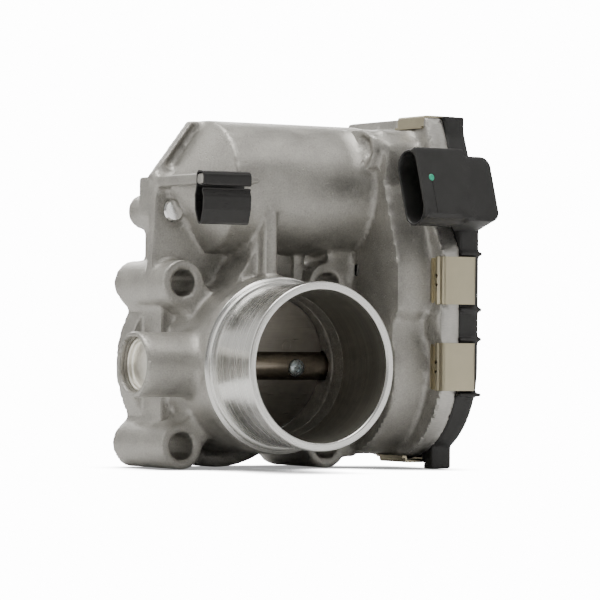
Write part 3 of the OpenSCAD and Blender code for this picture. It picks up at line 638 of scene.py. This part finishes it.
def housing_cutters():
    """Sharp machined features of the casting, each with the material that its cut faces take."""
    yield lathe([
        (3, 0.01), (3, BORE_R + 0.8), (0.0, BORE_R + 0.8), (-0.8, BORE_R), (BORE_DEPTH, BORE_R),
        (CHAMFER_Y, CHAMFER_R), (CHAMFER_Y, 0.01),
    ], (0, 0, 0)), "bore_aluminium"
    # the mouth's cone takes the darker finish, which is painted shade
    yield lathe([
        (CHAMFER_Y + 0.01, 0.01), (CHAMFER_Y + 0.01, CHAMFER_R),
        (SHOULDER_Y - 1, cone_radius(SHOULDER_Y - 1)), (SHOULDER_Y - 1, 0.01),
    ], (0, 0, 0)), "shaded_mouth_aluminium"
    yield lathe([
        (SHOULDER_Y, 0.01), (SHOULDER_Y, 30), (FRONT_Y - 2, 30), (FRONT_Y - 2, 0.01),
    ], (0, 0, 0)), "machined_aluminium"
    hole_r = BOLTS["hole_r_mm"]
    for x in (-1, 1):
        for z in (-1, 1):
            centre = (x * BOLTS["spacing_x_mm"] / 2, 0, z * BOLTS["spacing_y_mm"] / 2)
            yield lathe([
                (2, 0.01), (2, hole_r + 0.3), (0, hole_r + 0.3), (-0.3, hole_r),
                (0.5 - BOLT_COLUMN_LENGTH, hole_r), (-BOLT_COLUMN_LENGTH, hole_r + 0.5),
                (-BOLT_COLUMN_LENGTH - 2, hole_r + 0.5), (-BOLT_COLUMN_LENGTH - 2, 0.01),
            ], centre, steps=64), "plug_bore"
    face, r = HOUSING_LOW.x, PLUG_BORE_R
    plug_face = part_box("shaft_plug")[0].x / MM
    yield lathe([
        (face - 1, 0.01), (face - 1, r + 0.75), (face, r + 0.35), (face + 0.5, r), (face + 1.1, r),
        (face + 1.2, r + 0.25), (face + 1.6, r + 0.25), (face + 1.7, r),
        (plug_face + 2.4, r), (plug_face + 2.4, 0.01),
    ], SHAFT, axis="X", steps=96), "plug_bore"


def spigot_mesh(materials):
    """The turned spigot: shoulder ring, groove and bead, with the dull cone of the mouth inside, coloured darker
    as painted shade.
    """
    bead = SPIGOT["r_mm"]
    outer = [
        (SHOULDER_Y + 0.05, bead + 1.35), (SHOULDER_Y - 0.3, bead + 1.05), (SHOULDER_Y - 0.5, bead + 0.5),
        *arc((SHOULDER_Y - 0.95, bead - 0.05), 0.45, 90, 180, 5),
        (SHOULDER_Y - 1.5, bead - 0.5), (FRONT_Y + 5.0, bead - 0.5), (FRONT_Y + 4.85, bead - 0.62),
        (FRONT_Y + 4.65, bead - 0.62), (FRONT_Y + 4.5, bead - 0.1), (FRONT_Y + 4.4, bead),
        (FRONT_Y + 0.45, bead), *arc((FRONT_Y + 0.4, bead - 0.4), 0.4, 90, 180, 5),
        (FRONT_Y, MOUTH_R + 0.75), *arc((FRONT_Y + 0.6, MOUTH_R + 0.6), 0.6, 180, 270, 6),
    ]
    inner = [(CONE_Y, CONE_R), (SHOULDER_Y + 0.05, cone_radius(SHOULDER_Y))]
    mesh = lathe(outer + inner, (0, 0, 0), steps=192)
    mesh.materials.append(materials["machined_aluminium"])
    # inner faces of the mouth take the darker finish, which is painted shade
    mesh.materials.append(materials["shaded_mouth_aluminium"])
    for face in mesh.polygons:
        radial = Vector((face.center.x, 0, face.center.z))
        if radial.length < MOUTH_R + 0.05 and face.normal.dot(radial) < 0 and face.center.y > FRONT_Y + 0.6:
            face.material_index = 1
    return mesh


# ---------------------------------------------------------------- gear cover and connector

CONNECTOR_TILT = math.radians(-18)
CONNECTOR = sum((Vector(c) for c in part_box("connector_pins")), Vector()) / 2 / MM
CONNECTOR_FRONT = -4.9


def in_connector(x, u, v):
    """A point given along X, out of the connector's front face and up it, in millimetres."""
    c, s = math.cos(CONNECTOR_TILT), math.sin(CONNECTOR_TILT)
    return Vector((x, CONNECTOR.y + u * c - v * s, CONNECTOR.z + u * s + v * c))


def slanted_box(low, high):
    """Closed box drawn in the connector's own directions."""
    corners = [
        in_connector(x, u, v)
        for x in (low[0], high[0]) for u in (low[1], high[1]) for v in (low[2], high[2])
    ]
    faces = [(0, 1, 3, 2), (4, 6, 7, 5), (0, 4, 5, 1), (2, 3, 7, 6), (0, 2, 6, 4), (1, 5, 7, 3)]
    return mesh_from(corners, faces, "box")


def build_cover(materials):
    """The moulded cover with its edges softened and two fine moulding lines on the connector."""
    shell = cast_surface("gear_cover", 0.22, 0.35, 0.22, 0.25)
    shell.materials.append(materials["cover_plastic"])
    mouth_x = COVER_LOW.x
    for low, high in (
        ((mouth_x + 3.9, CONNECTOR_FRONT - 1, -9.4), (mouth_x + 4.05, CONNECTOR_FRONT + 0.15, 0.4)),
        ((mouth_x + 1.0, CONNECTOR_FRONT - 1, -9.55), (mouth_x + 15, CONNECTOR_FRONT + 0.12, -9.4)),
    ):
        shell = boolean(shell, slanted_box(low, high))
    add_piece("gear_cover_shell", shell, "cover_plastic", materials, 30, replaced=("gear_cover",))


def build_paint_dot(materials):
    """A slightly domed dab of paint on the connector's front face."""
    dot_x, dot_v, stretch = COVER_LOW.x + 3.9, 1.3, 1.12
    rings = ((0.86, -0.02), (0.8, 0.1), (0.5, 0.16), (0.0, 0.17))
    steps = 24
    points = []
    for radius, height in rings:
        for i in range(steps):
            a = i * 2 * math.pi / steps
            across, up = radius * math.cos(a), stretch * radius * math.sin(a)
            points.append(in_connector(dot_x + across, CONNECTOR_FRONT - height, dot_v + up))
    faces = [
        (j * steps + i, j * steps + (i + 1) % steps, (j + 1) * steps + (i + 1) % steps, (j + 1) * steps + i)
        for j in range(len(rings) - 1) for i in range(steps)
    ] + [tuple(range(steps))[::-1]]
    mesh = welded(mesh_from(points, faces, "dot"))
    mesh.materials.append(materials["paint_dot"])
    add_piece("paint_dot", mesh, "cover_plastic", materials, 60)


def welded(mesh):
    """The mesh with doubled points merged and its faces turned outwards."""
    bm = bmesh.new()
    bm.from_mesh(mesh)
    bmesh.ops.remove_doubles(bm, verts=bm.verts, dist=1e-5)
    bmesh.ops.recalc_face_normals(bm, faces=bm.faces)
    bm.to_mesh(mesh)
    bm.free()
    return mesh


# ---------------------------------------------------------------- bent sheet metal

def rounded_path(points, radius, steps=5):
    """A path with each inner corner replaced by an arc of about the radius."""
    path = [Vector(points[0])]
    for before, corner, after in zip(points, points[1:], points[2:]):
        corner = Vector(corner)
        back, on = (Vector(before) - corner), (Vector(after) - corner)
        angle = back.angle(on)
        reach = min(radius / math.tan(angle / 2), back.length * 0.49, on.length * 0.49)
        start, end = corner + back.normalized() * reach, corner + on.normalized() * reach
        for i in range(steps + 1):
            t = i / steps
            path.append((1 - t) ** 2 * start + 2 * t * (1 - t) * corner + t * t * end)
    path.append(Vector(points[-1]))
    return path


def sheet_outline(path, thickness):
    """Closed outline of a sheet that follows a path, half its thickness either side."""
    left, right = [], []
    for i, point in enumerate(path):
        ahead = (path[min(i + 1, len(path) - 1)] - path[max(i - 1, 0)]).normalized()
        side = Vector((-ahead.y, ahead.x)) * thickness / 2
        left.append(point + side)
        right.append(point - side)
    return left + right[::-1]


def extruded(outline, width, place):
    """Closed solid from an outline extruded over a width; place turns (a, b, along) into a point."""
    count = len(outline)
    points = [place(p.x, p.y, w) for w in (-width / 2, width / 2) for p in outline]
    faces = [(i, (i + 1) % count, count + (i + 1) % count, count + i) for i in range(count)]
    half = count // 2
    for base, flip in ((0, False), (count, True)):
        for i in range(half - 1):
            quad = (base + i, base + i + 1, base + count - 2 - i, base + count - 1 - i)
            faces.append(quad if flip else quad[::-1])
    return welded(mesh_from(points, faces, "sheet"))


def solids_of(node):
    """The lowest and highest corner of each separate solid of a node, in millimetres."""
    bm = bmesh.new()
    bm.from_mesh(frame["nodes"][node].data)
    bmesh.ops.remove_doubles(bm, verts=bm.verts, dist=2e-6)
    left = set(bm.verts)
    boxes = []
    while left:
        todo, seen = [left.pop()], []
        while todo:
            vert = todo.pop()
            seen.append(vert.co.copy())
            for edge in vert.link_edges:
                other = edge.other_vert(vert)
                if other in left:
                    left.remove(other)
                    todo.append(other)
        low = Vector(min(c[i] for c in seen) for i in range(3)) / MM
        high = Vector(max(c[i] for c in seen) for i in range(3)) / MM
        boxes.append((low, high))
    bm.free()
    return sorted(boxes, key=lambda b: tuple(b[0]))


CLIP_T = 0.6
CORNER_R = 1.5
LONG_HOOK = 4.0
PIERCED_R, PIERCED_DEPTH, PIERCED_OFFSET = 0.6, 2.3, 1.25
HOOK_DEPTH = {"front": 4.4, "rear": 2.4, "top": 3.0, "bottom": 1.3}


def clip_path(hook, leg, hook_x, leg_x):
    """Middle line of one cover clip: lip, beaded hook, back and leg, as (X, depth behind the edge)."""
    half = CLIP_T / 2
    points = [(hook_x - half - 1.2, hook - half)]
    points.append((hook_x - half, hook - half))
    if hook > LONG_HOOK:
        points += [
            (hook_x - half, 3.2), (hook_x - half - 0.45, 2.6), (hook_x - half - 0.45, 1.9),
            (hook_x - half, 1.3),
        ]
    points += [(hook_x - half, -half), (leg_x + half, -half), (leg_x + half, leg)]
    return points


def hook_corner(place, hook_x, depth, along):
    """Cutter that rounds one free corner of a hook's strip."""
    r = CORNER_R
    side = math.copysign(1, along)
    outline = [(depth + 1, along + side), (depth + 1, along - side * r)]
    outline += [(depth - r + a, along - side * (r - b)) for a, b in arc((0, 0), r, 0, 90)]
    outline += [(depth - r, along + side)]
    count = len(outline)
    points = [place(x, d, w) for x in (hook_x - 3, hook_x + 0.3) for d, w in outline]
    faces = [(i, (i + 1) % count, count + (i + 1) % count, count + i) for i in range(count)]
    faces += [tuple(range(count)), tuple(range(2 * count - 1, count - 1, -1))]
    return welded(mesh_from(points, faces, "corner"))


def clip_side(size, centre, middle):
    """The edge of the cover that a clip sits on."""
    if size.z > size.y:
        return "front" if centre.y < middle.y else "rear"
    return "top" if centre.z > middle.z else "bottom"


def build_clips(materials):
    """The six cover clips, bent from sheet, with a small pierced bridge in the long hooks."""
    middle = (COVER_LOW + COVER_HIGH) / 2
    for number, (low, high) in enumerate(solids_of("cover_clips")):
        size, centre = high - low, (low + high) / 2
        side = clip_side(size, centre, middle)
        upright = side in ("front", "rear")
        edge = {"front": low.y, "rear": high.y, "top": high.z, "bottom": low.z}[side]
        inwards = 1 if side in ("front", "bottom") else -1
        width = size.z if upright else size.y
        hook = HOOK_DEPTH[side]
        leg = max((size.y if upright else size.z) - CLIP_T, hook)

        def place(x, depth, along):
            depth = edge + inwards * (depth + CLIP_T)
            if upright:
                return Vector((x, depth, centre.z + along))
            return Vector((x, centre.y + along, depth))

        hook_x, leg_x = low.x + 0.9 + CLIP_T, high.x - CLIP_T
        path = rounded_path(clip_path(hook, leg, hook_x, leg_x), 0.55)
        mesh = extruded(sheet_outline(path, CLIP_T), width, place)
        if side == "front":
            for offset in (-PIERCED_OFFSET, PIERCED_OFFSET):
                mesh = boolean(mesh, lathe([
                    (hook_x - 3, 0.01), (hook_x - 3, PIERCED_R), (hook_x + 1, PIERCED_R), (hook_x + 1, 0.01),
                ], place(0, PIERCED_DEPTH, offset), axis="X", steps=20), solver="EXACT")
            for end in (-1, 1):
                corner = hook_corner(place, hook_x, hook, end * width / 2)
                mesh = boolean(mesh, corner, solver="EXACT")
        replaced = ("cover_clips",) if number == 0 else ()
        add_piece(f"cover_clip_{number + 1}", mesh, "clip_steel", materials, 30, replaced=replaced)


def build_hose_clip(materials):
    """The black spring clip: a roll round the bar and a narrow hanging loop with a flared lip."""
    low, high = (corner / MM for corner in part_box("hose_clip"))
    t = 0.5
    half = t / 2
    front, top, bottom = low.y + half, high.z - half, low.z + half
    back = front + 3.6
    roll_bottom = bottom + 10.1
    path = rounded_path([
        (front + 1.1, roll_bottom + 0.15), (front + 0.1, roll_bottom + 0.1), (front, top - 0.3),
        (back - 0.5, top),
        (back, top - 1.0), (back + 0.1, roll_bottom - 0.3), (back + 0.9, roll_bottom - 2.6),
        (back + 0.7, bottom + 3.6), (back - 0.9, bottom), (front + 1.5, bottom),
        (front + 0.3, bottom + 3.6),
        (front + 0.1, roll_bottom - 3.0), (front + 0.75, roll_bottom - 1.35),
        (front + 0.2, roll_bottom - 0.95),
    ], 1.5, 6)
    centre_x = (low.x + high.x) / 2

    def place(y, z, along):
        return Vector((centre_x + along, y, z))

    mesh = extruded(sheet_outline(path, t), high.x - low.x, place)
    add_piece("hose_clip_spring", mesh, "black_spring_steel", materials, 35, replaced=("hose_clip",))


# ---------------------------------------------------------------- small turned parts

SCREW_HEAD_R = 2.35
PUNCH_PLACE = (7.2, 5.6)
PLATE_TILT = math.radians(10)
PLATE_TURN = Matrix.Translation(SHAFT) @ Matrix.Rotation(PLATE_TILT, 4, "X")


def build_dowel(materials):
    """The dowel with a chamfered, flat end."""
    low, high = (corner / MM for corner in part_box("locating_dowel"))
    centre = (low + high) / 2
    r = (high.x - low.x) / 2
    mesh = lathe([
        (low.y, 0.0), (low.y, r - 0.5), (low.y + 0.5, r),
        (high.y - 0.4, r), (high.y, r - 0.4), (high.y, 0.0),
    ], centre, steps=64, closed=False)
    add_piece("dowel_pin", mesh, "turned_steel", materials, 20, replaced=("locating_dowel",))


def build_plug(materials):
    """The pressed cup in the plug boss, with a rolled lip and a flat bright bottom."""
    low, high = (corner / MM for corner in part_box("shaft_plug"))
    r = (high.z - low.z) / 2
    mesh = lathe([
        (high.x, 0.0), (high.x, r - 0.5), (high.x - 0.5, r), (low.x + 0.3, r),
        (low.x, r - 0.3), (low.x, r - 0.6),
        (low.x + 0.25, r - 0.85), (low.x + 1.0, r - 0.95), (low.x + 1.3, r - 1.3), (low.x + 1.3, 0.0),
    ], SHAFT, axis="X", steps=96, closed=False)
    add_piece("plug_cup", mesh, "zinc_steel", materials, 25, replaced=("shaft_plug",))


def lobed_recess(x):
    """Cutter for a driver's recess with six rounded lobes, round an axis along Y."""
    steps, lobes, middle_r, swing = 48, 6, 1.05, 0.2
    points = []
    for y in (-6.0, -4.15):
        for i in range(steps):
            a = 2 * math.pi * i / steps
            reach = middle_r + swing * math.cos(lobes * a)
            points.append((x + reach * math.cos(a), y, reach * math.sin(a)))
    faces = [(i, (i + 1) % steps, steps + (i + 1) % steps, steps + i) for i in range(steps)]
    faces += [tuple(range(steps)), tuple(range(2 * steps - 1, steps - 1, -1))]
    return welded(mesh_from(points, faces, "recess"))


def build_screw_heads(materials):
    """Low heads with a six-lobed recess, and shanks, for the two screws that hold the plate."""
    r = SCREW_HEAD_R
    for number, (low, high) in enumerate(solids_of("plate_screws")):
        x = (low.x + high.x) / 2
        head = lathe([
            (-3.4, 0.01), (-3.4, r - 0.15), (-3.55, r), (-4.3, r),
            (-4.65, r - 0.35), (-4.85, r - 0.9), (-4.9, 0.01),
        ], (x, 0, 0), steps=64)
        head = boolean(head, lobed_recess(x), solver="EXACT")
        shank = lathe([(-3.5, 0.01), (-3.5, 1.5), (4.1, 1.5), (4.3, 1.3), (4.3, 0.01)], (x, 0, 0), steps=32)
        for part, mesh in (("head", head), ("shank", shank)):
            mesh.transform(PLATE_TURN)
            replaced = ("plate_screws",) if number == 0 and part == "head" else ()
            name = f"plate_screw_{part}_{number + 1}"
            add_piece(name, mesh, "dark_screw", materials, 30, "throttle", replaced)


def build_punch_mark(materials):
    """The round mark that a locating punch leaves in the throttle plate's inlet side."""
    half_thickness, radius = 0.9, 1.3
    mesh = lathe([
        (-half_thickness + 0.02, radius - 0.16), (-half_thickness - 0.07, radius),
        (-half_thickness + 0.02, radius + 0.16),
    ], (PUNCH_PLACE[0], 0, PUNCH_PLACE[1]), steps=48)
    mesh.transform(PLATE_TURN)
    add_piece("plate_punch_mark", mesh, "plate_metal", materials, 40, body="throttle")


# ---------------------------------------------------------------- run

def dress_cad_nodes(materials):
    """The record's slot decides each carried-over CAD node's material."""
    for part in frame["record"]["subparts"]:
        mesh = frame["nodes"][part["node"]].data
        mesh.materials.clear()
        mesh.materials.append(materials[part["material_slot"]])
        shade_by_angle(mesh, 30)


make_camera()
make_stage()
all_materials = make_materials()
dress_cad_nodes(all_materials)
build_housing(all_materials)
build_cover(all_materials)
build_paint_dot(all_materials)
build_clips(all_materials)
build_hose_clip(all_materials)
build_dowel(all_materials)
build_plug(all_materials)
build_screw_heads(all_materials)
build_punch_mark(all_materials)
